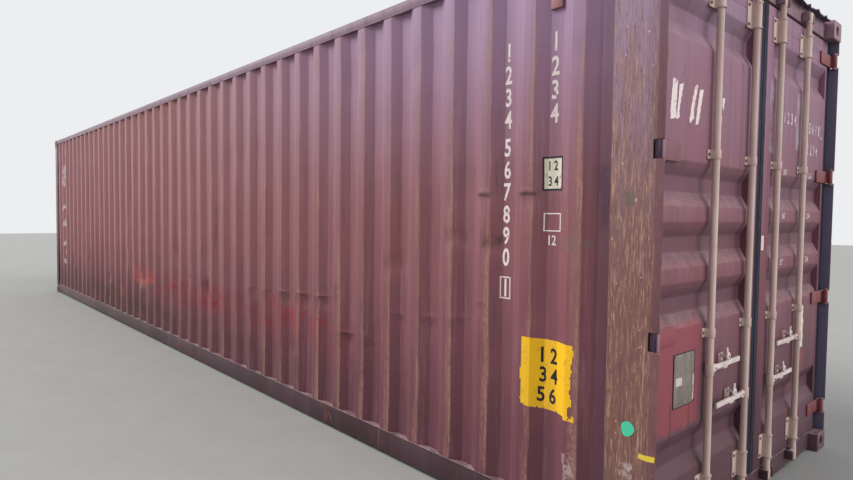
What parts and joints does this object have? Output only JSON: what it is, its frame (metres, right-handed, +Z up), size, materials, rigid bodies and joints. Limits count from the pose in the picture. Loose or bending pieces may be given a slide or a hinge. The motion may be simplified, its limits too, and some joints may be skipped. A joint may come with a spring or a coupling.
{
  "type": "shipping container",
  "caption": "High-cube steel shipping container with corrugated walls, double end doors with lock rods and handles, corner castings and a gooseneck tunnel.",
  "frame": {"origin": "middle of the container's footprint, on the ground under the bottom corner castings", "axes": "+X along the length towards the doors, +Y to the right as seen from behind the doors, +Z up"},
  "size_m": [12.192, 2.438, 2.896],
  "materials": {
    "container_paint": "worn maroon paint",
    "rusty_paint": "rusted through paint",
    "gear_paint": "weathered beige paint",
    "gasket_rubber": "matte",
    "plywood": "worn plywood",
    "plate_metal": "dull weathered sheet"
  },
  "bodies": {
    "container": {"castings_top": "container_paint", "castings_bottom": "container_paint", "front_post_left": "container_paint", "front_post_right": "container_paint", "rear_post_left": "rusty_paint", "rear_post_right": "rusty_paint", "rear_fins": "rusty_paint", "rear_gussets": "rusty_paint", "hinge_lugs": "rusty_paint", "front_header": "container_paint", "front_sill": "container_paint", "door_header": "container_paint", "door_sill": "container_paint", "top_rail_left": "container_paint", "top_rail_right": "container_paint", "bottom_rail_left": "container_paint", "bottom_rail_right": "container_paint", "side_wall_left": "container_paint", "side_wall_right": "container_paint", "front_wall": "container_paint", "roof": "container_paint", "header_plates": "container_paint", "cross_members": "container_paint", "tunnel_outriggers": "container_paint", "gooseneck_tunnel": "container_paint", "floor": "plywood", "cam_keepers": "container_paint", "ventilators": "container_paint"},
    "left_door": {"left_door_frame": "container_paint", "left_door_panel": "container_paint", "left_door_gasket": "gasket_rubber", "left_door_hinges": "rusty_paint", "left_door_brackets": "gear_paint", "left_handle_retainers": "gear_paint", "data_plate": "plate_metal"},
    "right_door": {"right_door_frame": "container_paint", "right_door_panel": "container_paint", "right_door_gasket": "gasket_rubber", "right_door_hinges": "rusty_paint", "right_door_brackets": "gear_paint", "right_handle_retainers": "gear_paint"},
    "lock_rod_1": {"lock_rod_1": "gear_paint"},
    "handle_1": {"handle_1": "gear_paint"},
    "catch_1": {"catch_1": "gear_paint"},
    "lock_rod_2": {"lock_rod_2": "gear_paint"},
    "handle_2": {"handle_2": "gear_paint"},
    "catch_2": {"catch_2": "gear_paint"},
    "lock_rod_3": {"lock_rod_3": "gear_paint"},
    "handle_3": {"handle_3": "gear_paint"},
    "catch_3": {"catch_3": "gear_paint"},
    "lock_rod_4": {"lock_rod_4": "gear_paint"},
    "handle_4": {"handle_4": "gear_paint"},
    "catch_4": {"catch_4": "gear_paint"}
  },
  "joints": [
    {"name": "left_door_hinge", "type": "hinge", "parent": "container", "child": "left_door", "pos_m": [6.07, -1.196, 0], "axis": [0, 0, -1], "range_deg": [0, 264]},
    {"name": "right_door_hinge", "type": "hinge", "parent": "container", "child": "right_door", "pos_m": [6.07, 1.196, 0], "axis": [0, 0, 1], "range_deg": [0, 264]},
    {"name": "lock_rod_1_turn", "type": "hinge", "parent": "left_door", "child": "lock_rod_1", "pos_m": [6.066, -0.645, 0], "axis": [0, 0, 1], "range_deg": [-110, 0]},
    {"name": "handle_1_lift", "type": "hinge", "parent": "lock_rod_1", "child": "handle_1", "pos_m": [6.066, -0.6, 0.846], "axis": [-1, 0, 0], "range_deg": [-5, 0]},
    {"name": "catch_1_swivel", "type": "hinge", "parent": "left_door", "child": "catch_1", "pos_m": [6.079, -0.465, 0.886], "axis": [-1, 0, 0], "range_deg": [0, 190]},
    {"name": "lock_rod_2_turn", "type": "hinge", "parent": "left_door", "child": "lock_rod_2", "pos_m": [6.066, -0.19, 0], "axis": [0, 0, -1], "range_deg": [-110, 0]},
    {"name": "handle_2_lift", "type": "hinge", "parent": "lock_rod_2", "child": "handle_2", "pos_m": [6.066, -0.235, 0.646], "axis": [1, 0, 0], "range_deg": [-5, 0]},
    {"name": "catch_2_swivel", "type": "hinge", "parent": "left_door", "child": "catch_2", "pos_m": [6.079, -0.37, 0.686], "axis": [1, 0, 0], "range_deg": [0, 190]},
    {"name": "lock_rod_3_turn", "type": "hinge", "parent": "right_door", "child": "lock_rod_3", "pos_m": [6.066, 0.19, 0], "axis": [0, 0, 1], "range_deg": [-110, 0]},
    {"name": "handle_3_lift", "type": "hinge", "parent": "lock_rod_3", "child": "handle_3", "pos_m": [6.066, 0.235, 0.646], "axis": [-1, 0, 0], "range_deg": [-5, 0]},
    {"name": "catch_3_swivel", "type": "hinge", "parent": "right_door", "child": "catch_3", "pos_m": [6.079, 0.37, 0.686], "axis": [-1, 0, 0], "range_deg": [0, 190]},
    {"name": "lock_rod_4_turn", "type": "hinge", "parent": "right_door", "child": "lock_rod_4", "pos_m": [6.066, 0.645, 0], "axis": [0, 0, -1], "range_deg": [-110, 0]},
    {"name": "handle_4_lift", "type": "hinge", "parent": "lock_rod_4", "child": "handle_4", "pos_m": [6.066, 0.6, 0.846], "axis": [1, 0, 0], "range_deg": [-5, 0]},
    {"name": "catch_4_swivel", "type": "hinge", "parent": "right_door", "child": "catch_4", "pos_m": [6.079, 0.465, 0.886], "axis": [1, 0, 0], "range_deg": [0, 190]}
  ]
}
